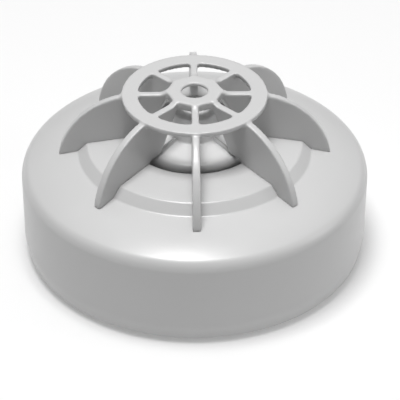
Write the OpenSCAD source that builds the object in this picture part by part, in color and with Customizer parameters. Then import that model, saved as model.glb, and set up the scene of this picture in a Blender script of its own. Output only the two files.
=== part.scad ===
// Heat detector: an open eight-fin cage over a thermistor, on a twist-lock head
// and a ceiling base. The ceiling face is at z = 0 and the fins point up.

/* [Body] */
// Outside diameter of the head cover
body_d = 103; // [100:0.5:110]
// Height of the side wall, up to the start of the rounded shoulder
wall_z = 24.9; // [24:0.1:26]
// Radius of the rounded shoulder
shoulder_r = 4; // [3.5:0.1:4.5]
// Wall thickness of the moulded cover
wall = 2.2; // [1.6:0.1:2.4]
// Gap between the ceiling and the lower edge of the cover
skirt_gap = 1.2; // [0.8:0.1:1.5]

/* [Cage] */
// Number of fins
fin_n = 8; // [6:2:10]
// Thickness of a fin
fin_t = 2.4; // [2:0.1:3]
// Height of the flat top ring above the ceiling
ring_z = 51.9; // [51:0.1:54]
// Outside diameter of the top ring
ring_od = 42.6; // [40:0.2:46]
// Inside diameter of the top ring
ring_id = 33.2; // [30:0.2:36]
// Thickness of the top ring
ring_t = 1.5; // [1.4:0.1:2.4]
// Diameter of the hub, across the corners
hub_d = 16.8; // [16:0.2:18]
// Thickness of the hub
hub_t = 1.2; // [1:0.1:2]
// Diameter of the hole in the hub
hub_hole_d = 8; // [6:0.2:9]
// Rise of the hub above the ring
hub_rise = 1; // [0.4:0.1:1.5]
// Radius of the curved outer edge of each fin
fin_arc_r = 24.5; // [24.2:0.1:25.5]

/* [Bayonet] */
// Twist from the entry position to the locked position, in degrees
twist = 20; // [16:1:22]
// Width of one head lug, in degrees
lug_w = 40; // [34:1:42]
// Free angle on each side of a lug as it enters
lug_play = 4; // [3:1:5]

/* [Terminals] */
// Distance of a terminal screw from the axis
screw_r = 27; // [26:0.5:28]
// Diameter of the terminal screw's thread
screw_d = 3; // [2.5:0.5:3]
// Side of the square clamp plate
clamp_w = 8; // [7:0.5:8]
// Distance between the two round fixing holes
fix_spacing = 60; // [58:1:62]
// Diameter of the fixing holes and width of the slots
fix_d = 4.5; // [4:0.1:5]
// Diameter of the cable entry in the base
cable_d = 22; // [18:1:24]

/* [Electronics] */
// Diameter of the circuit board
board_d = 65; // [60:1:65]
// Height of the circuit board's lower face above the ceiling
board_z = 22; // [21.5:0.1:22.5]
// Diameter of the thermistor bead
bead_d = 2.6; // [2:0.1:2.8]

/* [Hidden] */
$fn = 96;

white = [0.88, 0.88, 0.87];
brass_yellow = [0.80, 0.66, 0.34];
steel = [0.72, 0.73, 0.75];
// how far joined shapes run into each other
bite = 0.4;
// gap between pieces that touch
fit = 0.05;

// cover: side wall, shoulder, crown curve, sloping top, step and shallow cone
body_r = body_d / 2;
top_angle = 12;
shoulder_x = body_r - shoulder_r;
shoulder_end = 66;
crown_r = 40;
crown_x = shoulder_x - (crown_r - shoulder_r) * cos(shoulder_end);
crown_z = wall_z - (crown_r - shoulder_r) * sin(shoulder_end);
step_out_r = 34.6;
step_in_r = 31.8;
step_h = 2.8;
mouth_r = 19.7;
plateau_slope = 0.154;
slope_r = crown_x + crown_r * cos(90 - top_angle);
slope_z = crown_z + crown_r * sin(90 - top_angle);
step_z = slope_z + (slope_r - step_out_r) * tan(top_angle);
rim_z = step_z + step_h;
mouth_z = rim_z + (step_in_r - mouth_r) * plateau_slope;
in_r = body_r - wall;

// cage: the arc is tangent to the top of the ring
fin_cx = 16.1;
fin_cz = ring_z - fin_arc_r;
hub_z = ring_z + hub_rise;
foot_z = slope_z + (slope_r - 40) * tan(top_angle);
foot_r = fin_cx + sqrt(fin_arc_r * fin_arc_r - (foot_z - fin_cz) * (foot_z - fin_cz));
tab_in = 24;
tab_out = 29;
tab_t = 1.6;

// sensor dome under the mouth of the cover
dome_r = 17.6;
dome_z = 37.3;
tower_base_r = 8;
tower_base_z = 39.2;
tower_r = 6.8;
tower_z = 47;
rib_t = 1.1;
rib_h = 0.8;
rib_end = 14.4;
dome_wall = 1.6;
flange_z = 28;
flange_r = 27;
flange_t = 1.6;
dome_screw_r = 23.5;

// base and bayonet
base_r = 48;
plate_t = 2.4;
rim_in = 46;
rim_top = 10;
ledge_in = 43;
ledge_z = 7.2;
ledge_t = 2;
gap_half = lug_w / 2 + lug_play;
ledge_w = 120 - 2 * gap_half;
boss_z = 8;
strip_t = 0.8;
strip_z = boss_z + strip_t;
clamp_t = 1;
clamp_z = strip_z + 0.1;
head_z = clamp_z + clamp_t + 0.1;
leaf_z = 13;
leaf_r = 34.5;

// chassis
spigot_r = 41.6;
spigot_in = 39.6;
lug_r = 45.4;
lug_z = 4;
lug_t = 2.6;
chassis_z = 17;
chassis_t = 2;
collar_z = 13;
collar_t = 2;
collar_r = 48.6;
post_r = 36.8;
post_a = 20;
blade_z = leaf_z + 0.1;
blade_t = 0.6;
leaf_rivet_r = leaf_r + 1.5;
blade_rivet_r = leaf_r + 1.6;
pin_r = 30.8;
board_t = 1.6;
board_top = board_z + board_t;

// points of a circular arc from angle a to angle b
function arc(cx, cy, r, a, b, n = 12) =
    [for (i = [0 : n]) [cx + r * cos(a + (b - a) * i / n), cy + r * sin(a + (b - a) * i / n)]];

module ring(r_out, r_in, z, h) {
    translate([0, 0, z])
        difference() {
            cylinder(r = r_out, h = h);
            translate([0, 0, -1]) cylinder(r = r_in, h = h + 2);
        }
}

// part of a ring, centred on angle 0
module sector(r_out, r_in, z, h, w) {
    translate([0, 0, z])
        rotate([0, 0, -w / 2])
            rotate_extrude(angle = w)
                translate([r_in, 0]) square([r_out - r_in, h]);
}

// box centred on y, from x0 to x1
module bar(x0, x1, w, z, h) {
    translate([x0, -w / 2, z]) cube([x1 - x0, w, h]);
}

// cross-shaped recess of a screw head
module cross_recess(l, w, z, h) {
    for (a = [0, 90]) rotate([0, 0, a]) translate([-l / 2, -w / 2, z]) cube([l, w, h]);
}

module at_terminals() {
    for (k = [0 : 3]) rotate([0, 0, 45 + 90 * k]) children();
}

module at_thirds(start) {
    for (k = [0 : 2]) rotate([0, 0, start + 120 * k]) children();
}

module at_dome_screws() {
    for (s = [22.5, 202.5]) rotate([0, 0, s]) translate([dome_screw_r, 0, 0]) children();
}

module at_fins() {
    for (k = [0 : fin_n - 1]) rotate([0, 0, -90 + 360 / fin_n * k]) children();
}

// ---------------------------------------------------------------- base

module fixing_slot() {
    for (x = [25, 35]) translate([x, 0, -1]) cylinder(d = fix_d, h = plate_t + 2);
    bar(25, 35, fix_d, -1, plate_t + 2);
}

module base_plate() {
    color(white)
        difference() {
            union() {
                cylinder(r = base_r, h = plate_t);
                ring(base_r, rim_in, plate_t - bite, rim_top - plate_t + bite);
                at_thirds(90) sector(rim_in + bite, ledge_in, ledge_z, ledge_t, ledge_w);
                at_thirds(30 - twist - lug_w / 2 - 2)
                    sector(rim_in + bite, ledge_in + bite, plate_t - bite, ledge_z - plate_t + 2 * bite, 3);
                at_terminals() bar(21, 38, 12, plate_t - bite, boss_z - plate_t + bite);
                ring(cable_d / 2 + 2, cable_d / 2, plate_t - bite, 1 + bite);
            }
            translate([0, 0, -1]) cylinder(d = cable_d, h = 20);
            for (s = [0, 180]) rotate([0, 0, s])
                translate([fix_spacing / 2, 0, -1]) cylinder(d = fix_d, h = plate_t + 2);
            for (s = [90, 270]) rotate([0, 0, s]) fixing_slot();
            at_terminals() translate([screw_r, 0, 3]) cylinder(d = screw_d + 0.6, h = 10);
            at_terminals() translate([leaf_rivet_r, 0, 4]) cylinder(r = 1.05, h = 10);
        }
}

module wire_grommet() {
    color([0.15, 0.15, 0.15]) {
        ring(cable_d / 2 - 0.1, cable_d / 2 - 2, 0.2, 3.9);
        ring(cable_d / 2 + 2.4, cable_d / 2 - 2, 4, 1.2);
    }
}

module contact_strips() {
    color(brass_yellow)
        at_terminals()
            difference() {
                bar(22, 37.8, 9, boss_z, strip_t);
                translate([screw_r, 0, boss_z - 1]) cylinder(d = screw_d + 2 * fit, h = 4);
                translate([leaf_rivet_r, 0, boss_z - 1]) cylinder(r = 1.05, h = 4);
            }
}

// one spring leaf: a foot under the rivet, a riser and an arched contact
module leaf() {
    t = 0.4;
    x = leaf_r - 1.3;
    z = leaf_z - 1.6;
    difference() {
        bar(x, 37.6, 5, strip_z, t);
        translate([leaf_rivet_r, 0, strip_z - 1]) cylinder(r = 1.05, h = 4);
    }
    translate([0, 2.5, 0]) rotate([90, 0, 0]) linear_extrude(5) {
        polygon(concat(arc(x + 1.4, z, 1.6, 10, 180), arc(x + 1.4, z, 1.6 - t, 180, 10)));
        polygon([[x, strip_z], [x + t, strip_z], [x + t - 0.2, z + 0.1], [x - 0.2, z + 0.1]]);
    }
}

module contact_leaves() {
    color(brass_yellow) at_terminals() leaf();
}

module contact_rivets() {
    color(steel)
        at_terminals()
            translate([leaf_rivet_r, 0, 0]) {
                translate([0, 0, 4.5]) cylinder(r = 1, h = strip_z + 0.6 - 4.5);
                translate([0, 0, strip_z + 0.4]) cylinder(r = 1.5, h = 0.6);
            }
}

module clamp_plate(k) {
    color(steel)
        rotate([0, 0, 45 + 90 * (k - 1)])
            difference() {
                bar(screw_r - clamp_w / 2, screw_r + clamp_w / 2, clamp_w, clamp_z, clamp_t);
                translate([screw_r, 0, clamp_z - 1]) cylinder(d = screw_d + 2 * fit, h = 3);
            }
}

module terminal_screw(k) {
    color(steel)
        rotate([0, 0, 45 + 90 * (k - 1)])
            translate([screw_r, 0, 0])
                difference() {
                    union() {
                        translate([0, 0, 3.4]) cylinder(d = screw_d, h = head_z - 3.4 + bite);
                        translate([0, 0, head_z]) cylinder(r = 2.9, h = 2);
                    }
                    translate([-3.5, -0.4, head_z + 1]) cube([7, 0.8, 2]);
                }
}

// ---------------------------------------------------------------- seal

module seal_ring() {
    color([0.12, 0.12, 0.12])
        rotate_extrude()
            polygon([[42, 10.3], [47.6, 10.3], [47.6, 11.2], [46.6, 12.7], [42, 12.7]]);
}

// ---------------------------------------------------------------- head, rear

module chassis() {
    color(white)
        difference() {
            union() {
                ring(spigot_r, spigot_in, lug_z, chassis_z + chassis_t - lug_z);
                translate([0, 0, chassis_z]) cylinder(r = spigot_in + 1, h = chassis_t);
                ring(collar_r, spigot_r - bite, collar_z, collar_t);
                at_thirds(30) sector(lug_r, spigot_r - bite, lug_z, lug_t, lug_w);
                at_thirds(50) translate([28, 0, chassis_z]) cylinder(r = 3, h = board_z - chassis_z);
                rotate([0, 0, 20]) at_terminals()
                    sector(38, 31.5, blade_z + blade_t, chassis_z - blade_z - blade_t + bite, 16);
            }
            at_thirds(post_a) translate([post_r, 0, 10]) cylinder(r = 1.6, h = 20);
            at_thirds(50) translate([28, 0, chassis_z + 1]) cylinder(r = 1.25, h = 10);
            rotate([0, 0, 20]) at_terminals() {
                translate([blade_rivet_r, 0, 10]) cylinder(r = 1.05, h = 7);
                translate([pin_r, 0, 10]) cylinder(r = 0.6, h = 20);
            }
        }
}

module contact_blades() {
    color(brass_yellow)
        rotate([0, 0, 20]) at_terminals()
            difference() {
                union() {
                    sector(37.4, 32, blade_z, blade_t, 15);
                    bar(30, 32.5, 2.4, blade_z, blade_t);
                }
                translate([blade_rivet_r, 0, 10]) cylinder(r = 1.05, h = 10);
                translate([pin_r, 0, 10]) cylinder(r = 0.55, h = 10);
            }
}

module blade_rivets() {
    color(steel)
        rotate([0, 0, 20]) at_terminals()
            translate([blade_rivet_r, 0, blade_z]) cylinder(r = 1, h = 3.6);
}

module board_pins() {
    color(brass_yellow)
        rotate([0, 0, 20]) at_terminals()
            translate([pin_r, 0, blade_z]) cylinder(r = 0.5, h = board_top + 1.2 - blade_z);
}

module chassis_screws() {
    color(steel)
        at_thirds(post_a) translate([post_r, 0, 0])
            difference() {
                union() {
                    translate([0, 0, chassis_z - 2.1]) cylinder(r = 2.8, h = 2.1 - fit);
                    translate([0, 0, chassis_z - 0.1]) cylinder(r = 1.45, h = 9);
                }
                cross_recess(3.6, 0.6, chassis_z - 3, 2);
            }
}

// ---------------------------------------------------------------- electronics

module circuit_board() {
    color([0.05, 0.35, 0.18])
        difference() {
            translate([0, 0, board_z + fit]) cylinder(d = board_d, h = board_t - 2 * fit);
            at_thirds(50) translate([28, 0, board_z - 1]) cylinder(r = 1.4, h = 4);
            rotate([0, 0, 20]) at_terminals()
                translate([pin_r, 0, board_z - 1]) cylinder(r = 0.55, h = 4);
            for (x = [-1.27, 1.27]) translate([x, 0, board_z - 1]) cylinder(r = 0.4, h = 4);
        }
}

module board_screws() {
    color(steel)
        at_thirds(50) translate([28, 0, 0])
            difference() {
                union() {
                    translate([0, 0, board_z - 3]) cylinder(r = 1.2, h = board_t + 3 + bite);
                    translate([0, 0, board_top]) cylinder(r = 2.2, h = 1.4);
                }
                cross_recess(3, 0.5, board_top + 0.7, 2);
            }
}

// chip with a row of legs on two opposite sides
module chip(w, l, h, legs, pitch) {
    translate([-w / 2, -l / 2, board_top + 0.1]) cube([w, l, h]);
    for (i = [0 : legs - 1], s = [-1, 1])
        translate([s * (w / 2 + 0.5) - 0.6, (i - (legs - 1) / 2) * pitch - 0.2, board_top])
            cube([1.2, 0.4, 0.5]);
}

module microcontroller() {
    color([0.10, 0.10, 0.11]) translate([9, 12, 0]) chip(6.2, 9.8, 1.7, 7, 1.27);
}

module bridge_rectifier() {
    color([0.12, 0.12, 0.13]) translate([-14, 14, 0]) chip(6.4, 8.4, 2.4, 2, 5);
}

module capacitors() {
    color([0.72, 0.73, 0.75])
        for (p = [[-8, -6], [7, -8]])
            translate([p[0], p[1], board_top]) {
                cylinder(r = 2.9, h = 5.2);
                translate([-3.2, -3.2, 0]) cube([6.4, 6.4, 0.8]);
            }
}

module inductor() {
    color([0.20, 0.20, 0.21])
        translate([-20, -8, board_top]) {
            cylinder(r = 3.1, h = 0.7);
            cylinder(r = 2.1, h = 2.6);
            translate([0, 0, 1.9]) cylinder(r = 3.1, h = 0.7);
        }
}

module transistors() {
    color([0.10, 0.10, 0.11])
        for (p = [[18, -6], [18, 2], [0, -18], [-6, 20]])
            translate([p[0], p[1], 0]) chip(1.5, 3, 1, 2, 1.9);
}

module resistors() {
    color([0.16, 0.15, 0.16])
        for (p = [[0, 8], [0, 11], [0, 14], [-20, 2], [-20, 5], [12, -18], [8, -20], [-10, -20]])
            translate([p[0] - 1.6, p[1] - 0.8, board_top]) cube([3.2, 1.6, 0.6]);
}

module reference_thermistor() {
    color([0.10, 0.25, 0.12])
        translate([22, -14, board_top]) {
            for (x = [-1, 1]) translate([x, 0, 0]) cylinder(r = 0.25, h = 2.2);
            translate([0, 0, 2]) scale(1.6) sphere(r = 1);
        }
}

// ---------------------------------------------------------------- sensor

module sensor_dome() {
    rise = (tower_base_z - dome_z) / (dome_r - tower_base_r);
    color(white)
        difference() {
            union() {
                rotate_extrude()
                    polygon([
                        [0, flange_z], [flange_r, flange_z], [flange_r, flange_z + flange_t],
                        [dome_r, flange_z + flange_t], [dome_r, dome_z - 0.3], [dome_r - 0.3, dome_z],
                        [tower_base_r, tower_base_z], [tower_r, tower_z - 0.4],
                        [tower_r - 0.4, tower_z], [0, tower_z]
                    ]);
                at_fins() translate([0, rib_t / 2, 0]) rotate([90, 0, 0])
                    linear_extrude(rib_t)
                        polygon([
                            [tower_r, dome_z - bite], [rib_end, dome_z - bite],
                            [rib_end, dome_z + (dome_r - rib_end) * rise + rib_h],
                            [tower_r, dome_z + (dome_r - tower_r) * rise + rib_h]
                        ]);
            }
            rotate_extrude()
                polygon([
                    [0, flange_z - 1], [dome_r - dome_wall, flange_z - 1],
                    [dome_r - dome_wall, dome_z - dome_wall],
                    [tower_base_r - dome_wall, tower_base_z - dome_wall],
                    [tower_r - dome_wall, tower_z - dome_wall], [0, tower_z - dome_wall]
                ]);
            translate([0, 0, tower_z - 5]) cylinder(d = bead_d + 0.4, h = 10);
            at_dome_screws() translate([0, 0, flange_z - 1]) cylinder(r = 1, h = 4);
        }
}

module dome_gasket() {
    color([0.12, 0.12, 0.12])
        difference() {
            ring(21.6, dome_r + 0.1, flange_z + flange_t + fit, 1.2);
            at_dome_screws() translate([0, 0, flange_z]) cylinder(r = 2.4, h = 6);
        }
}

module dome_screws() {
    color(steel)
        at_dome_screws()
            difference() {
                union() {
                    translate([0, 0, flange_z - 1.4]) cylinder(r = 1.8, h = 1.4 - fit);
                    translate([0, 0, flange_z - 0.1]) cylinder(r = 0.85, h = 4.6);
                }
                cross_recess(2.4, 0.4, flange_z - 2, 1.2);
            }
}

module thermistor() {
    bead_r = bead_d / 2;
    color([0.12, 0.13, 0.12])
        rotate_extrude()
            polygon(concat([[0, 45.5], [bead_r, 45.5]], arc(0, 49, bead_r, 0, 90)));
}

module thermistor_leads() {
    color([0.85, 0.85, 0.84])
        for (s = [0, 180]) rotate([0, 0, s]) {
            translate([1.27, 0, board_z]) cylinder(r = 0.3, h = 20.5);
            bar(0.4, 1.57, 0.6, board_z + 20.4, 0.6);
            translate([0.7, 0, board_z + 20.9]) cylinder(r = 0.3, h = 45.5 - fit - board_z - 20.9);
        }
}

// ---------------------------------------------------------------- head, front

function cover_outside() = concat(
    [[body_r - 0.9, skirt_gap], [body_r, 6]],
    arc(shoulder_x, wall_z, shoulder_r, 0, shoulder_end, 10),
    arc(crown_x, crown_z, crown_r, shoulder_end + 2, 90 - top_angle, 5),
    [[step_out_r, step_z]],
    arc(step_in_r + 0.2, rim_z - 0.9, 1, 50, 98, 4),
    [[mouth_r, mouth_z]]
);

function cover_inside() = concat(
    [
        [mouth_r, mouth_z - wall], [step_in_r - 1, rim_z - wall - 0.1],
        [step_out_r - 1.4, step_z - wall]
    ],
    arc(crown_x, crown_z, crown_r - wall, 90 - top_angle, shoulder_end + 2, 3),
    arc(shoulder_x, wall_z, shoulder_r - wall, shoulder_end, 0, 6),
    [[in_r, skirt_gap]]
);

module outer_cover() {
    color(white)
        difference() {
            union() {
                rotate_extrude() polygon(concat(cover_outside(), cover_inside()));
                at_thirds(post_a) translate([post_r, 0, chassis_z + chassis_t + fit])
                    cylinder(r = 3.1, h = 30.5 - chassis_z - chassis_t - fit);
                at_dome_screws() translate([0, 0, flange_z + flange_t + fit])
                    cylinder(r = 2.2, h = 35 - flange_z - flange_t - fit);
                for (k = [0 : 5]) rotate([0, 0, 60 * k])
                    bar(46.5, in_r + 0.4, 1.6, collar_z + collar_t + fit, 11);
            }
            at_thirds(post_a) translate([post_r, 0, 10]) cylinder(r = 1.5, h = 17);
            at_dome_screws() translate([0, 0, flange_z]) cylinder(r = 0.9, h = 5);
            at_fins() bar(tab_in - fit, tab_out + fit, tab_t + 2 * fit, 30, 10);
        }
}

// side view of one fin: the curved outer edge, the hub end, the inner edge and
// the foot that follows the top of the cover
function fin_outline() = concat(
    arc(fin_cx, fin_cz, fin_arc_r, asin((foot_z + fit - fin_cz) / fin_arc_r), 90, 16),
    [
        [hub_d / 2, ring_z], [hub_d / 2 - 1, hub_z - 0.4], [hub_d / 2 - 2, hub_z - 0.4],
        [hub_d / 2 - 2, hub_z - hub_t], [hub_d / 2 - 0.5, hub_z - 2.1],
        [rib_end + 0.6, dome_z + 1.3], [mouth_r - 0.5, mouth_z + 0.6], [mouth_r, mouth_z + fit],
        [step_in_r, rim_z + 0.1 + fit], [step_in_r + 0.9, rim_z + 0.1 + fit],
        [step_out_r + 0.1, step_z + fit]
    ]
);

module fin() {
    translate([0, fin_t / 2, 0]) rotate([90, 0, 0]) linear_extrude(fin_t) polygon(fin_outline());
    bar(tab_in, tab_out, tab_t, 33, 5);
}

module sensor_cage() {
    color(white)
        difference() {
            union() {
                at_fins() fin();
                ring(ring_od / 2, ring_id / 2, ring_z - ring_t, ring_t);
                translate([0, 0, hub_z - hub_t]) cylinder(d = hub_d, h = hub_t, $fn = 8);
            }
            translate([0, 0, hub_z - 3]) cylinder(d = hub_hole_d, h = 4);
        }
}

base_plate();
wire_grommet();
contact_strips();
contact_leaves();
contact_rivets();
clamp_plate(1);  // clamp_plate_1
clamp_plate(2);  // clamp_plate_2
clamp_plate(3);  // clamp_plate_3
clamp_plate(4);  // clamp_plate_4
terminal_screw(1);  // terminal_screw_1
terminal_screw(2);  // terminal_screw_2
terminal_screw(3);  // terminal_screw_3
terminal_screw(4);  // terminal_screw_4
seal_ring();
chassis();
contact_blades();
blade_rivets();
board_pins();
chassis_screws();
circuit_board();
board_screws();
microcontroller();
bridge_rectifier();
capacitors();
inductor();
transistors();
resistors();
reference_thermistor();
sensor_dome();
dome_gasket();
dome_screws();
thermistor();
thermistor_leads();
outer_cover();
sensor_cage();
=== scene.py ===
"""Looks of the heat detector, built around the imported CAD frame.

Lengths in the named values are millimetres; mesh helpers turn them into metres.
"""
import math

import bmesh
import bpy
from mathutils import Matrix, Vector


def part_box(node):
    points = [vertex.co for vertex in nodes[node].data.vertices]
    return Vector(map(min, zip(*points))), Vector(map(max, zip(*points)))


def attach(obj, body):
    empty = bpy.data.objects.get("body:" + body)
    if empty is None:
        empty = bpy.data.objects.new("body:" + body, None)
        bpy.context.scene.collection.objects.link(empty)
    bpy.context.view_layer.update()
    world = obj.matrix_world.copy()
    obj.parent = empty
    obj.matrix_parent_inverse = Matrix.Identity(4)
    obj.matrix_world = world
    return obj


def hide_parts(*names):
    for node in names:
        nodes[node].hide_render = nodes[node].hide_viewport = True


MM = 0.001
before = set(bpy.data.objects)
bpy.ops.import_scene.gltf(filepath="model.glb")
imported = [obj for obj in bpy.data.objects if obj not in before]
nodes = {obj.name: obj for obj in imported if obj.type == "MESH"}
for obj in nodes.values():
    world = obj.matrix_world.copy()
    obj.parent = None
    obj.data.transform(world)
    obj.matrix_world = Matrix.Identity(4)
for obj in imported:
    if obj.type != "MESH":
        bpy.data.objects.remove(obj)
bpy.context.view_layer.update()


def low(node):
    """Lowest corner of a CAD node, in millimetres."""
    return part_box(node)[0] / MM


def high(node):
    """Highest corner of a CAD node, in millimetres."""
    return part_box(node)[1] / MM


# ---------------------------------------------------------------- driving sizes

# Cover
BODY_R = high("outer_cover").x
SKIRT_Z = low("outer_cover").z
MOUTH_Z = high("outer_cover").z
WALL = 2.2
SHOULDER_R = 4
SHOULDER_X = BODY_R - SHOULDER_R
SHOULDER_Z = 24.9
SHOULDER_END = 66  # degrees that the shoulder's arc turns
CROWN_R = 40  # wide arc from the shoulder into the top
TOP_ANGLE = 12  # degrees of slope where the top meets the step
STEP_H = 2.8
STEP_OUT_R = 34.6
STEP_IN_R = 31.8
MOUTH_R = 19.7
PLATEAU_SLOPE = 0.154  # rise over run between the step and the mouth

# Fin cage
FINS = 8
FIN_ANGLES = [-90 + 360 / FINS * k for k in range(FINS)]
FIN_T_TOP = 2.1
FIN_T_FOOT = 2.4
FOOT_R = high("sensor_cage").x
FOOT_Z = 31  # where a fin has its full thickness
HUB_Z = high("sensor_cage").z
HUB_R = 8.4
HUB_FLAT_R = HUB_R * math.cos(math.pi / FINS)
HUB_T = 1.1
HUB_HOLE_R = 3.8
RING_Z = HUB_Z - 1
RING_R = 21.3
RING_HOLE_R = 16.6
RING_T = 1.5
FIN_ARC_R = 24.5
FIN_ARC_X = 16.1
FIN_ARC_Z = RING_Z - FIN_ARC_R

# Sensor dome
DOME_Z = low("sensor_dome").z
DOME_WALL = 1.6
DOME_FLANGE_R = 27
DOME_R = 17.6
DOME_RIM_Z = 37.3
TOWER_BASE_R = 8
TOWER_BASE_Z = 39.2
TOWER_R = 6.8
TOWER_Z = high("sensor_dome").z
RIB_END = 14.4  # outer end of the dome's ribs

# Terminal screws
TERMINALS = range(1, 5)
SCREW_R = 27  # distance of the screws from the axis
SCREW_HEAD_Z = 10  # underside of their heads


# ---------------------------------------------------------------- mesh helpers

def rounded(corners, steps=6):
    """Closed outline through corners (x, z, radius), each rounded by an arc of its radius."""
    points = []
    count = len(corners)
    for i, (x, z, radius) in enumerate(corners):
        here = Vector((x, z))
        before = Vector(corners[i - 1][:2]) - here
        after = Vector(corners[(i + 1) % count][:2]) - here
        if radius <= 0:
            points.append((x, z))
            continue
        u = before.normalized()
        v = after.normalized()
        half = u.angle(v) / 2
        reach = min(radius / math.tan(half), 0.49 * before.length, 0.49 * after.length)
        r = reach * math.tan(half)
        centre = here + (u + v).normalized() * (r / math.sin(half))
        start = here + u * reach - centre
        end = here + v * reach - centre
        turn = start.angle_signed(end)
        for k in range(steps + 1):
            p = centre + Matrix.Rotation(-turn * k / steps, 2) @ start
            points.append((p.x, p.y))
    return points


def arc(cx, cz, r, start, end, steps):
    """Points of an arc, with angles in degrees."""
    angles = [math.radians(start + (end - start) * i / steps) for i in range(steps + 1)]
    return [(cx + r * math.cos(a), cz + r * math.sin(a)) for a in angles]


def mesh_object(name, verts, faces):
    """A mesh object from vertices in millimetres."""
    mesh = bpy.data.meshes.new(name)
    mesh.from_pydata([Vector(v) * MM for v in verts], [], faces)
    mesh.validate()
    obj = bpy.data.objects.new(name, mesh)
    bpy.context.scene.collection.objects.link(obj)
    return obj


def revolve(name, outline, steps=192):
    """Turns an outline of (r, z) points about the Z axis. A point at r = 0 becomes a pole."""
    verts, rows = [], []
    for r, z in outline:
        if r < 1e-6:
            rows.append([len(verts)] * steps)
            verts.append((0, 0, z))
            continue
        rows.append(list(range(len(verts), len(verts) + steps)))
        for k in range(steps):
            a = 2 * math.pi * k / steps
            verts.append((r * math.cos(a), r * math.sin(a), z))
    faces = []
    for i, row in enumerate(rows):
        after = rows[(i + 1) % len(rows)]
        for k in range(steps):
            n = (k + 1) % steps
            face = [row[k], row[n], after[n], after[k]]
            face = [v for j, v in enumerate(face) if v != face[j - 1]]
            if len(face) > 2:
                faces.append(face)
    obj = mesh_object(name, verts, faces)
    outward(obj)
    return obj


def prism(name, outline, low_t, high_t, z_low, z_high):
    """A plate in the XZ plane, whose thickness runs from low_t at z_low to high_t at z_high."""
    def half(z):
        share = (z - z_low) / (z_high - z_low)
        return (low_t + (high_t - low_t) * share) / 2

    count = len(outline)
    verts = [(x, -half(z), z) for x, z in outline] + [(x, half(z), z) for x, z in outline]
    faces = [list(range(count)), list(range(2 * count - 1, count - 1, -1))]
    for i in range(count):
        n = (i + 1) % count
        faces.append([i, i + count, n + count, n])
    obj = mesh_object(name, verts, faces)
    outward(obj)
    return obj


def plate(name, outlines, z_low, z_high):
    """A flat plate with holes: the first outline is its edge, and the others are cut out of it."""
    curve = bpy.data.curves.new(name, "CURVE")
    curve.dimensions = "2D"
    curve.fill_mode = "BOTH"
    curve.extrude = (z_high - z_low) / 2 * MM
    for outline in outlines:
        spline = curve.splines.new("POLY")
        spline.points.add(len(outline) - 1)
        spline.use_cyclic_u = True
        for point, (x, y) in zip(spline.points, outline):
            point.co = (x * MM, y * MM, 0, 1)
    source = bpy.data.objects.new(name + "_outline", curve)
    bpy.context.scene.collection.objects.link(source)
    mesh = bpy.data.meshes.new_from_object(source)
    bpy.data.objects.remove(source)
    mesh.transform(Matrix.Translation((0, 0, (z_low + z_high) / 2 * MM)))
    obj = bpy.data.objects.new(name, mesh)
    bpy.context.scene.collection.objects.link(obj)
    outward(obj)
    return obj


def circle(r, steps=96):
    """Closed circle about the origin, from the X axis round."""
    return arc(0, 0, r, 0, 360 - 360 / steps, steps - 1)


def outward(obj):
    """Makes every face of a closed mesh point outwards."""
    work = bmesh.new()
    work.from_mesh(obj.data)
    bmesh.ops.remove_doubles(work, verts=work.verts, dist=1e-7)
    bmesh.ops.recalc_face_normals(work, faces=work.faces)
    work.to_mesh(obj.data)
    work.free()


def block(name, x, y, z_low, z_high):
    """A box about the Z axis, with half-widths x and y."""
    verts = [(i * x, j * y, z) for i in (-1, 1) for j in (-1, 1) for z in (z_low, z_high)]
    faces = [[0, 1, 3, 2], [4, 6, 7, 5], [0, 4, 5, 1], [2, 3, 7, 6], [0, 2, 6, 4], [1, 5, 7, 3]]
    obj = mesh_object(name, verts, faces)
    outward(obj)
    return obj


def turned(obj, degrees):
    """Turns a mesh about the Z axis."""
    obj.data.transform(Matrix.Rotation(math.radians(degrees), 4, "Z"))
    return obj


def copies(obj, angles):
    """Copies of an object turned to each angle about Z. The object itself takes the first."""
    made = [obj]
    for a in angles[1:]:
        other = obj.copy()
        other.data = obj.data.copy()
        bpy.context.scene.collection.objects.link(other)
        made.append(turned(other, a - angles[0]))
    turned(obj, angles[0])
    for other in made[1:]:
        turned(other, angles[0])
    return made


def joined(name, objs):
    """Joins objects into one mesh."""
    work = bmesh.new()
    for o in objs:
        work.from_mesh(o.data)
    mesh = bpy.data.meshes.new(name)
    work.to_mesh(mesh)
    work.free()
    for o in objs:
        bpy.data.objects.remove(o)
    obj = bpy.data.objects.new(name, mesh)
    bpy.context.scene.collection.objects.link(obj)
    return obj


def apply_modifiers(obj):
    """Replaces the mesh by the result of its modifiers."""
    graph = bpy.context.evaluated_depsgraph_get()
    mesh = bpy.data.meshes.new_from_object(obj.evaluated_get(graph))
    obj.modifiers.clear()
    obj.data = mesh
    return obj


def blended(obj, voxel, rounds):
    """Melts overlapping closed shapes into one skin with soft edges, as a moulding has."""
    remesh = obj.modifiers.new("Remesh", "REMESH")
    remesh.mode = "VOXEL"
    remesh.voxel_size = voxel * MM
    remesh.use_smooth_shade = True
    smooth = obj.modifiers.new("Smooth", "SMOOTH")
    smooth.factor = 0.5
    smooth.iterations = rounds
    return apply_modifiers(obj)


def shaded(obj):
    """Smooth shading that keeps large faces flat."""
    obj.data.polygons.foreach_set("use_smooth", [True] * len(obj.data.polygons))
    obj.modifiers.new("Normals", "WEIGHTED_NORMAL").weight = 80
    return obj


def cut(obj, tool):
    """Takes the shape of a tool out of an object, and removes the tool."""
    boolean = obj.modifiers.new("Cut", "BOOLEAN")
    boolean.operation = "DIFFERENCE"
    boolean.object = tool
    boolean.solver = "EXACT"
    apply_modifiers(obj)
    bpy.data.objects.remove(tool)
    return obj


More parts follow.
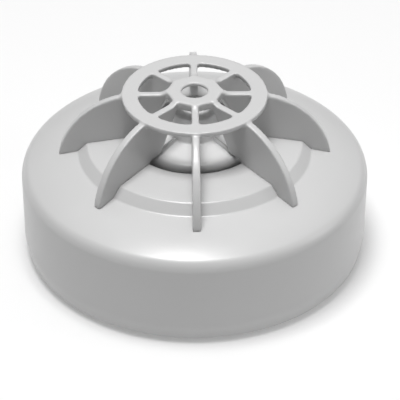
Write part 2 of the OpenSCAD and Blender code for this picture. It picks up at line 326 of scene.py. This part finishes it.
def softened(obj, width, angle=35):
    """Small rounded edges on a machined or moulded shape, with flat faces kept flat."""
    obj.modifiers.new("Weld", "WELD").merge_threshold = 1e-6
    bevel = obj.modifiers.new("Bevel", "BEVEL")
    bevel.width = width * MM
    bevel.segments = 2
    bevel.limit_method = "ANGLE"
    bevel.angle_limit = math.radians(angle)
    return shaded(obj)


def piece(obj, body, slot, material, *stands_for):
    """Finishes a detailed piece: its material, its body, and the CAD nodes it stands for."""
    obj.data.materials.clear()
    obj.data.materials.append(material)
    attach(obj, body)
    if stands_for:
        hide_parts(*stands_for)
    return obj


# ---------------------------------------------------------------- materials

def material(name):
    """An empty node material with its Principled shader."""
    mat = bpy.data.materials.new(name)
    mat.use_nodes = True
    return mat, mat.node_tree, mat.node_tree.nodes["Principled BSDF"]


def noise(tree, scale, detail=2):
    """A noise texture over the object's own coordinates."""
    where = tree.nodes.new("ShaderNodeTexCoord")
    node = tree.nodes.new("ShaderNodeTexNoise")
    node.inputs["Scale"].default_value = scale
    node.inputs["Detail"].default_value = detail
    tree.links.new(where.outputs["Object"], node.inputs["Vector"])
    return node.outputs["Fac"]


def spread(tree, value, low_value, high_value):
    """Maps the middle of a noise, where nearly all of its values lie, to a range."""
    node = tree.nodes.new("ShaderNodeMapRange")
    node.inputs["From Min"].default_value = 0.3
    node.inputs["From Max"].default_value = 0.7
    node.inputs["To Min"].default_value = low_value
    node.inputs["To Max"].default_value = high_value
    tree.links.new(value, node.inputs["Value"])
    return node.outputs["Result"]


def tinted(tree, shader, value, dark, light):
    """Colour that drifts between two tones."""
    mix = tree.nodes.new("ShaderNodeMix")
    mix.data_type = "RGBA"
    mix.inputs["A"].default_value = (*dark, 1)
    mix.inputs["B"].default_value = (*light, 1)
    tree.links.new(value, mix.inputs["Factor"])
    tree.links.new(mix.outputs["Result"], shader.inputs["Base Color"])


def bumped(tree, shader, value, depth):
    """Bump from a noise, with its depth in millimetres."""
    node = tree.nodes.new("ShaderNodeBump")
    node.inputs["Strength"].default_value = 1
    node.inputs["Distance"].default_value = depth * MM
    tree.links.new(value, node.inputs["Height"])
    tree.links.new(node.outputs["Normal"], shader.inputs["Normal"])


def plastic(name, colour, roughness, grain):
    """Moulded plastic: a faint drift of tone, uneven gloss and a fine spark-eroded grain."""
    mat, tree, shader = material(name)
    tinted(tree, shader, noise(tree, 60), [0.975 * c for c in colour], colour)
    gloss = spread(tree, noise(tree, 300), roughness - 0.02, roughness + 0.02)
    tree.links.new(gloss, shader.inputs["Roughness"])
    bumped(tree, shader, noise(tree, 800), grain)
    shader.inputs["IOR"].default_value = 1.5
    return mat


def rubber(name, colour):
    """Moulded rubber: dull, with a dusty bloom in patches."""
    mat, tree, shader = material(name)
    tinted(tree, shader, noise(tree, 90, 4), colour, [2.2 * c for c in colour])
    gloss = spread(tree, noise(tree, 300, 3), 0.62, 0.82)
    tree.links.new(gloss, shader.inputs["Roughness"])
    bumped(tree, shader, noise(tree, 1800, 3), 0.03)
    return mat


def metal(name, dark, light, roughness):
    """Rolled or plated metal: cloudy tone, uneven polish and fine drawn lines."""
    mat, tree, shader = material(name)
    tinted(tree, shader, noise(tree, 220, 3), dark, light)
    gloss = spread(tree, noise(tree, 900), roughness - 0.08, roughness + 0.08)
    tree.links.new(gloss, shader.inputs["Roughness"])
    shader.inputs["Metallic"].default_value = 1
    where = tree.nodes.new("ShaderNodeTexCoord")
    stretch = tree.nodes.new("ShaderNodeMapping")
    stretch.inputs["Scale"].default_value = (6000, 6000, 400)
    lines = tree.nodes.new("ShaderNodeTexNoise")
    lines.inputs["Scale"].default_value = 1
    tree.links.new(where.outputs["Object"], stretch.inputs["Vector"])
    tree.links.new(stretch.outputs["Vector"], lines.inputs["Vector"])
    bumped(tree, shader, lines.outputs["Fac"], 0.004)
    return mat


def solder_mask(name):
    """Green lacquer over copper tracks, which show as paler raised lines."""
    mat, tree, shader = material(name)
    where = tree.nodes.new("ShaderNodeTexCoord")
    tracks = tree.nodes.new("ShaderNodeTexBrick")
    tracks.inputs["Scale"].default_value = 160
    tracks.inputs["Mortar Size"].default_value = 0.06
    tracks.inputs["Color1"].default_value = (0.012, 0.13, 0.055, 1)
    tracks.inputs["Color2"].default_value = (0.016, 0.16, 0.065, 1)
    tracks.inputs["Mortar"].default_value = (0.03, 0.26, 0.11, 1)
    tree.links.new(where.outputs["Object"], tracks.inputs["Vector"])
    tree.links.new(tracks.outputs["Color"], shader.inputs["Base Color"])
    gloss = spread(tree, noise(tree, 400), 0.25, 0.4)
    tree.links.new(gloss, shader.inputs["Roughness"])
    bumped(tree, shader, tracks.outputs["Fac"], 0.02)
    return mat


def dipped(name, colour):
    """Glossy dipped coating of a small bead."""
    mat, tree, shader = material(name)
    tinted(tree, shader, noise(tree, 700), [0.7 * c for c in colour], colour)
    gloss = spread(tree, noise(tree, 500), 0.18, 0.32)
    tree.links.new(gloss, shader.inputs["Roughness"])
    bumped(tree, shader, noise(tree, 900, 1), 0.02)
    shader.inputs["Coat Weight"].default_value = 0.5
    return mat


COVER_WHITE = plastic("cover_white", (0.57, 0.57, 0.57), 0.3, 0.0007)
# The dome's white is paler than the cover's. This is painted light: it brightens the tower top,
# which lies in the hub's shade.
DOME_WHITE_PAINTED_LIGHT = plastic("dome_white_painted_light", (0.68, 0.68, 0.68), 0.31, 0.0007)
BASE_WHITE = plastic("base_white", (0.64, 0.64, 0.63), 0.42, 0.02)
BLACK_RUBBER = rubber("black_rubber", (0.018, 0.018, 0.018))
BRASS = metal("brass", (0.55, 0.36, 0.12), (0.72, 0.50, 0.20), 0.3)
BRONZE = metal("bronze", (0.50, 0.27, 0.11), (0.65, 0.38, 0.17), 0.32)
STEEL = metal("steel", (0.42, 0.43, 0.44), (0.60, 0.61, 0.62), 0.34)
TINNED = metal("tinned_wire", (0.60, 0.60, 0.59), (0.72, 0.72, 0.71), 0.25)
ALUMINIUM = metal("can_aluminium", (0.62, 0.63, 0.64), (0.76, 0.77, 0.78), 0.3)
BOARD_GREEN = solder_mask("board_green")
CHIP_BLACK = plastic("chip_black", (0.03, 0.03, 0.032), 0.5, 0.015)
BEAD_DARK = dipped("bead_dark", (0.05, 0.06, 0.05))


# ---------------------------------------------------------------- head, front

def crown(r, start, end, steps):
    """Sharp corners along the wide arc from the shoulder up to the sloping top."""
    turn = math.radians(SHOULDER_END)
    x = SHOULDER_X - (CROWN_R - SHOULDER_R) * math.cos(turn)
    z = SHOULDER_Z - (CROWN_R - SHOULDER_R) * math.sin(turn)
    return [(*p, 0) for p in arc(x, z, r, start, end, steps)]


def shoulder(r, start, end):
    """Sharp corners along the arc of the shoulder."""
    return [(*p, 0) for p in arc(SHOULDER_X, SHOULDER_Z, r, start, end, 10)]


def cover_outline():
    """Cross-section of the cover: out along the side and the top, back along the inside."""
    top = crown(CROWN_R, SHOULDER_END + 1, 90 - TOP_ANGLE, 8)
    step_z = top[-1][1] + (top[-1][0] - STEP_OUT_R) * math.tan(math.radians(TOP_ANGLE))
    rim_z = step_z + STEP_H
    inside_r = BODY_R - WALL
    edge_r = BODY_R - 0.9
    upright_z = 6
    return rounded([
        (inside_r, SKIRT_Z, 0.3),
        (edge_r, SKIRT_Z, 0.6),
        (BODY_R, upright_z, 12),
        *shoulder(SHOULDER_R, 0, SHOULDER_END),
        *top,
        (STEP_OUT_R, step_z, 1.4),
        (STEP_IN_R, rim_z, 1.2),
        (MOUTH_R, MOUTH_Z, 0.5),
        (MOUTH_R, MOUTH_Z - WALL, 0.3),
        (STEP_IN_R - 1, rim_z - WALL, 1),
        (STEP_OUT_R - 1.4, step_z - WALL, 1),
        *crown(CROWN_R - WALL, 90 - TOP_ANGLE, SHOULDER_END + 1, 6),
        *shoulder(SHOULDER_R - WALL, SHOULDER_END, 0),
    ], 8)


def make_cover():
    """The cover's shell, turned about the axis."""
    cover = shaded(revolve("cover_shell", cover_outline(), 256))
    return piece(cover, "head", "cover_white", COVER_WHITE, "outer_cover")


def post(x, r, hole_r, z_low, z_high):
    """Round hollow post at x on the X axis, with slightly rounded ends."""
    tube = revolve("post", rounded([
        (hole_r, z_low, 0.1), (r, z_low, 0.2), (r, z_high, 0.1), (hole_r, z_high, 0.1),
    ], 3), 48)
    tube.data.transform(Matrix.Translation((x * MM, 0, 0)))
    return tube


def make_posts():
    """Screw posts that stand under the roof of the cover, behind its skin."""
    gap = 0.05
    case_z = low("chassis").z + 15 + gap
    dome_z = DOME_Z + DOME_WALL + gap
    case_post = post(x=36.8, r=3.1, hole_r=1.5, z_low=case_z, z_high=29.6)
    dome_post = post(x=23.5, r=2.2, hole_r=0.9, z_low=dome_z, z_high=34.6)
    case_posts = copies(case_post, [20, 140, 260])
    dome_posts = copies(dome_post, [22.5, 202.5])
    posts = shaded(joined("cover_posts", case_posts + dome_posts))
    return piece(posts, "head", "cover_white", COVER_WHITE)


def fin_outline():
    """Side view of a fin, from the foot up the curved edge and in to the hub."""
    foot_z = FIN_ARC_Z + math.sqrt(FIN_ARC_R ** 2 - (FOOT_R - FIN_ARC_X) ** 2)
    start = math.degrees(math.asin((foot_z - FIN_ARC_Z) / FIN_ARC_R))
    plateau_z = MOUTH_Z - (STEP_IN_R - MOUTH_R) * PLATEAU_SLOPE
    step_z = plateau_z - STEP_H
    spoke_z = HUB_Z - 0.1
    spoke_end = HUB_R - 2
    sunk = 0.2
    return arc(FIN_ARC_X, FIN_ARC_Z, FIN_ARC_R, start, 90, 40) + [
        (HUB_R + 1.6, RING_Z),
        (HUB_R - 0.6, spoke_z),
        (spoke_end, spoke_z),
        (spoke_end, HUB_Z - HUB_T),
        (HUB_R - 0.5, HUB_Z - 2.1),
        (RIB_END + 0.6, DOME_RIM_Z + 1.3),
        (MOUTH_R - 0.5, MOUTH_Z + 0.6),
        (MOUTH_R, MOUTH_Z - sunk),
        (STEP_IN_R, plateau_z - sunk),
        (STEP_OUT_R, step_z - sunk),
        (FOOT_R - 0.1, foot_z - sunk),
    ]


def window_outline():
    """Opening between two spokes, centred on the X axis, with rounded corners."""
    half = math.pi / FINS
    along = Vector((math.cos(half), math.sin(half)))
    aside = Vector((math.sin(half), -math.cos(half))) * FIN_T_TOP / 2
    inner_r = (HUB_FLAT_R - aside.x) / math.cos(half)
    inner = along * inner_r + aside
    outer = along * math.sqrt(RING_HOLE_R ** 2 - aside.length_squared) + aside
    corner_turn = 7
    reach = math.degrees(math.atan2(outer.y, outer.x)) - corner_turn
    edge = [(x, y, 0) for x, y in arc(0, 0, RING_HOLE_R, -reach, reach, 8)]
    inner_round = 0.7
    outer_round = 1.2
    return rounded([
        (inner.x, -inner.y, inner_round),
        (outer.x, -outer.y, outer_round),
        *edge,
        (outer.x, outer.y, outer_round),
        (inner.x, inner.y, inner_round),
    ])


def make_grille():
    """The flat ring and its spokes, which reach a little under the hub."""
    under_hub = 0.6
    outlines = [circle(RING_R, 192)]
    for k in range(FINS):
        turn = Matrix.Rotation(2 * math.pi * (k + 0.5) / FINS, 2)
        outlines.append([tuple(turn @ Vector(p)) for p in window_outline()])
    outlines.append(circle(HUB_FLAT_R - under_hub))
    return plate("grille", outlines, RING_Z - RING_T, RING_Z)


def make_hub():
    """Eight-sided plate with a round hole, a flat towards the middle of each window."""
    corner_r = 0.8
    corners = [(*p, corner_r) for p in circle(HUB_R, FINS)]
    return plate("hub", [rounded(corners), circle(HUB_HOLE_R, 64)], HUB_Z - HUB_T, HUB_Z)


def make_cage():
    """Fins, ring, spokes and hub as one moulding."""
    fin = prism("fin", fin_outline(), low_t=FIN_T_FOOT, high_t=FIN_T_TOP, z_low=FOOT_Z, z_high=HUB_Z)
    fins = copies(fin, FIN_ANGLES)
    parts = joined("fin_cage", fins + [make_grille(), make_hub()])
    cage = blended(parts, voxel=0.36, rounds=3)
    return piece(cage, "head", "cover_white", COVER_WHITE, "sensor_cage")


def dome_outline():
    """Cross-section of the dome: flange, wall, low cone and tower, then back inside."""
    tip_hole_r = 1.5
    return rounded([
        (DOME_R - DOME_WALL, DOME_Z, 0.2),
        (DOME_FLANGE_R, DOME_Z, 0.3),
        (DOME_FLANGE_R, DOME_Z + DOME_WALL, 0.3),
        (DOME_R, DOME_Z + DOME_WALL, 0.4),
        (DOME_R, DOME_RIM_Z, 2.4),
        (TOWER_BASE_R, TOWER_BASE_Z, 0.8),
        (TOWER_R, TOWER_Z, 0.7),
        (tip_hole_r, TOWER_Z, 0.3),
        (tip_hole_r, TOWER_Z - DOME_WALL, 0.1),
        (TOWER_R - DOME_WALL, TOWER_Z - DOME_WALL, 0.2),
        (TOWER_BASE_R - DOME_WALL, TOWER_BASE_Z - DOME_WALL, 0.4),
        (DOME_R - DOME_WALL, DOME_RIM_Z - DOME_WALL, 0.4),
    ])


def make_rib():
    """Low rib along the cone, from the tower out towards the rim."""
    slope = (TOWER_BASE_Z - DOME_RIM_Z) / (DOME_R - TOWER_BASE_R)
    inner_r = TOWER_BASE_R - 0.6
    low_z = DOME_RIM_Z - 0.2
    top_z = DOME_RIM_Z + 0.8
    outline = rounded([
        (inner_r, low_z, 0),
        (RIB_END, low_z, 0),
        (RIB_END, top_z + (DOME_R - RIB_END) * slope, 0.4),
        (inner_r, top_z + (DOME_R - inner_r) * slope, 0),
    ])
    return prism("rib", outline, low_t=1.2, high_t=1.0, z_low=37, z_high=42)


def make_dome():
    """Low cone with a rib under each fin, and a tower that holds the thermistor."""
    body = revolve("dome_body", dome_outline())
    ribs = copies(make_rib(), FIN_ANGLES)
    dome = shaded(joined("dome", [body] + ribs))
    # The dome takes the paler white, which is painted light for the tower top in the hub's shade.
    return piece(dome, "head", "cover_white", DOME_WHITE_PAINTED_LIGHT, "sensor_dome")


def make_thermistor():
    """Dipped bead with a drop-shaped tip."""
    z_low = low("thermistor").z
    z_high = high("thermistor").z
    r = high("thermistor").x
    bead = revolve("thermistor_bead", rounded([
        (0, z_low, 0),
        (0.8 * r, z_low, 0.4),
        (r, z_low + 1.4, 1.2),
        (r, z_high - 0.9, 1.3),
        (0.35 * r, z_high, 0.4),
        (0, z_high, 0),
    ], 8), 64)
    return piece(shaded(bead), "head", "bead_dark", BEAD_DARK, "thermistor")


# ---------------------------------------------------------------- base and terminals

def make_seal():
    """Rubber ring with a groove between two lips on its ceiling side."""
    z_low = low("seal_ring").z
    z_high = high("seal_ring").z
    r_in = 42
    r_out = high("seal_ring").x
    lip = 1.5
    groove = 0.8
    groove_in = r_in + lip + groove
    groove_out = groove_in + groove
    ring = revolve("seal", rounded([
        (r_in, z_high, 0.3),
        (r_in, z_low, 0.4),
        (r_in + lip, z_low, 0.4),
        (groove_in, z_low + groove, 0.4),
        (groove_out, z_low + groove, 0.4),
        (groove_out + groove, z_low, 0.4),
        (r_out, z_low, 0.3),
        (r_out, z_low + 0.9, 0.3),
        (r_out - 1, z_high, 0.4),
    ], 4), 256)
    return piece(shaded(ring), "seal", "black_rubber", BLACK_RUBBER, "seal_ring")


def make_grommet():
    """Flanged rubber sleeve in the cable entry."""
    z_low = low("wire_grommet").z
    z_high = high("wire_grommet").z
    bore_r = 9
    sleeve_r = 10.9
    flange_r = high("wire_grommet").x
    flange_z = z_high - 1.2
    grommet = revolve("grommet", rounded([
        (bore_r, z_low, 0.5),
        (sleeve_r, z_low, 0.5),
        (sleeve_r, flange_z, 0.2),
        (flange_r, flange_z, 0.3),
        (flange_r, z_high, 0.5),
        (bore_r, z_high, 0.8),
    ], 6), 128)
    return piece(shaded(grommet), "base", "black_rubber", BLACK_RUBBER, "wire_grommet")


def thread(r, depth, pitch, z_low, z_high, steps=32):
    """Closed rod about the Z axis with a right-hand thread."""
    rows_per_turn = 8
    rows = int((z_high - z_low) / pitch * rows_per_turn)
    verts = [(0, 0, z_low)]
    for i in range(rows + 1):
        z = z_low + (z_high - z_low) * i / rows
        for k in range(steps):
            share = (z / pitch - k / steps) % 1
            here = r - depth * abs(2 * share - 1)
            a = 2 * math.pi * k / steps
            verts.append((here * math.cos(a), here * math.sin(a), z))
    verts.append((0, 0, z_high))
    last = len(verts) - 1
    faces = []
    for k in range(steps):
        n = (k + 1) % steps
        faces.append([0, 1 + n, 1 + k])
        faces.append([last, last - steps + k, last - steps + n])
        for i in range(rows):
            at = 1 + i * steps
            faces.append([at + k, at + n, at + steps + n, at + steps + k])
    obj = mesh_object("thread", verts, faces)
    outward(obj)
    return obj


def make_screw():
    """Pan-head screw with a straight slot and a threaded shank, on the Z axis."""
    z_low = low("terminal_screw_1").z
    z_high = high("terminal_screw_1").z
    head_r = 2.9
    slot_depth = 1
    head = revolve("head", rounded([
        (0, SCREW_HEAD_Z, 0),
        (head_r, SCREW_HEAD_Z, 0.15),
        (head_r, z_high - 0.7, 0.5),
        (head_r - 0.8, z_high, 0.8),
        (0, z_high, 0),
    ], 5), 64)
    cut(head, block("slot", x=4, y=0.4, z_low=z_high - slot_depth, z_high=z_high + slot_depth))
    shank = thread(r=1.48, depth=0.28, pitch=0.5, z_low=z_low, z_high=SCREW_HEAD_Z + 0.2)
    return joined("terminal_screw", [head, shank])


def make_terminal_screws():
    """One screw on each screw body."""
    screw = make_screw()
    screw.data.transform(Matrix.Translation((SCREW_R * MM, 0, 0)))
    angles = [90 * k - 45 for k in TERMINALS]
    for k, one in zip(TERMINALS, copies(screw, angles)):
        one.name = "pan_head_screw_%d" % k
        softened(one, width=0.05, angle=50)
        piece(one, "screw_%d" % k, "steel", STEEL, "terminal_screw_%d" % k)


# ---------------------------------------------------------------- carried-over nodes

def dress():
    """Gives every carried-over CAD node its material and rounded edges of a given width."""
    looks = [
        (BASE_WHITE, 0.3, ["base_plate", "chassis"]),
        (BRASS, 0.08, ["contact_strips", "contact_blades", "board_pins"]),
        (BRONZE, 0.05, ["contact_leaves"]),
        (STEEL, 0.12, ["contact_rivets", "blade_rivets"]),
        (STEEL, 0.12, ["chassis_screws", "board_screws", "dome_screws"]),
        (STEEL, 0.12, ["clamp_plate_%d" % k for k in TERMINALS]),
        (BLACK_RUBBER, 0.2, ["dome_gasket"]),
        (BOARD_GREEN, 0.1, ["circuit_board"]),
        (CHIP_BLACK, 0.1, ["microcontroller", "bridge_rectifier", "transistors"]),
        (CHIP_BLACK, 0.1, ["inductor", "resistors"]),
        (ALUMINIUM, 0.25, ["capacitors"]),
        (BEAD_DARK, 0.05, ["reference_thermistor"]),
        (TINNED, 0.05, ["thermistor_leads"]),
    ]
    for look, width, names in looks:
        for name in names:
            obj = nodes[name]
            obj.data.materials.clear()
            obj.data.materials.append(look)
            softened(obj, width)


# ---------------------------------------------------------------- stage

def aim(obj, target):
    """Points a camera's or light's -Z axis at a place."""
    obj.rotation_euler = (Vector(target) - obj.location).to_track_quat("-Z", "Y").to_euler()


def make_camera():
    """Long lens, 34.8 degrees above the horizon, with one fin pointing almost straight at it."""
    elevation = math.radians(34.8)
    azimuth = math.radians(-90.9)
    distance = 0.589
    centre = Vector((0, 0, 0.025))
    data = bpy.data.cameras.new("camera")
    data.sensor_width = 36
    data.lens = 177.3
    data.shift_x = 0.0135
    data.shift_y = -0.0781
    data.clip_start = 0.01
    camera = bpy.data.objects.new("camera", data)
    level = math.cos(elevation)
    back = Vector((level * math.cos(azimuth), level * math.sin(azimuth), math.sin(elevation)))
    camera.location = centre + back * distance
    bpy.context.scene.collection.objects.link(camera)
    aim(camera, centre)
    bpy.context.scene.camera = camera


def softbox(name, place, size, watts):
    """Rectangular light that faces the middle of the detector. Places are in metres."""
    data = bpy.data.lights.new(name, "AREA")
    data.shape = "RECTANGLE"
    data.size = size[0]
    data.size_y = size[1]
    data.energy = watts
    light = bpy.data.objects.new(name, data)
    light.location = place
    bpy.context.scene.collection.objects.link(light)
    aim(light, (0, 0, 0.03))


def make_floor():
    """Bright white floor just under the detector."""
    mat, tree, shader = material("floor_white")
    tinted(tree, shader, noise(tree, 3), (0.60, 0.60, 0.60), (0.61, 0.61, 0.61))
    shader.inputs["Roughness"].default_value = 0.9
    shader.inputs["Emission Color"].default_value = (1, 1, 1, 1)
    shader.inputs["Emission Strength"].default_value = 0.28
    half = 3000
    corners = [(-half, -half, 0), (half, -half, 0), (half, half, 0), (-half, half, 0)]
    floor = mesh_object("floor", corners, [[0, 1, 2, 3]])
    floor.location.z = -0.1 * MM
    floor.data.materials.append(mat)


def make_world():
    """Faint white light from all round."""
    world = bpy.data.worlds.new("studio")
    world.use_nodes = True
    background = world.node_tree.nodes["Background"]
    background.inputs["Color"].default_value = (1, 1, 1, 1)
    background.inputs["Strength"].default_value = 0.08
    bpy.context.scene.world = world


def make_lights():
    """Small key light overhead, a wide canopy, and a fill from the right."""
    softbox("top_light", (-0.06, -0.05, 0.9), (0.3, 0.3), 6.9)
    softbox("canopy", (0, 0.1, 1.0), (1.2, 1.2), 3.6)
    softbox("right_light", (0.9, -0.1, 0.4), (0.4, 0.5), 1.1)


make_camera()
make_floor()
make_world()
make_lights()
bpy.context.scene.view_settings.view_transform = "Standard"
make_cover()
make_posts()
make_cage()
make_dome()
make_thermistor()
make_seal()
make_grommet()
make_terminal_screws()
dress()
